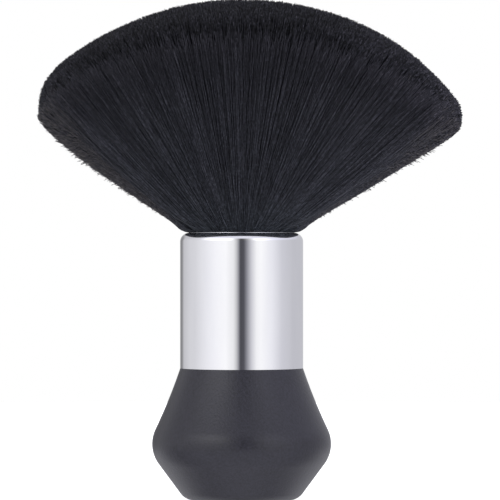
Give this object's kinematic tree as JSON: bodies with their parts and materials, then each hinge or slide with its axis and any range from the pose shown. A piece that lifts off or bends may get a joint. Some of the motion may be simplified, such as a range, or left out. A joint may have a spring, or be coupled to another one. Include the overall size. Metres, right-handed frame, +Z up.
{
  "type": "neck duster brush",
  "caption": "Salon neck duster: a wide oval fan of soft black bristles in a turned-in chrome ferrule, on a weighted matte black knob that it stands on.",
  "frame": {"origin": "middle of the foot, on the surface that the brush stands on", "axes": "+Z up the brush's axis to the tips, X across the wide way of the fan, Y through its thickness, -Y towards the viewer"},
  "size_m": [0.1022, 0.0566, 0.1199],
  "materials": {
    "knob_soft_touch": "soft-touch matte, fine pear-skin texture",
    "ferrule_chrome": "polished",
    "bond_epoxy": "cured adhesive",
    "cup_plastic": "moulded, fine matte",
    "insert_brass": "turned and knurled",
    "root_epoxy": "cast resin",
    "binding_thread": "waxed thread",
    "bristle_fibre": "fine synthetic filament, satin",
    "screw_steel": "zinc plated",
    "washer_steel": "zinc plated",
    "weight_steel": "turned, oiled",
    "cap_plastic": "moulded, matte"
  },
  "bodies": {
    "root": {"knob": "knob_soft_touch", "ferrule": "ferrule_chrome", "ferrule_bond": "bond_epoxy", "bristle_cup": "cup_plastic", "threaded_insert": "insert_brass", "root_resin": "root_epoxy", "tuft_binding": "binding_thread", "bristle_tuft": "bristle_fibre", "clamp_screw": "screw_steel", "screw_washer": "washer_steel", "weight_slug": "weight_steel", "base_cap": "cap_plastic"}
  },
  "joints": []
}
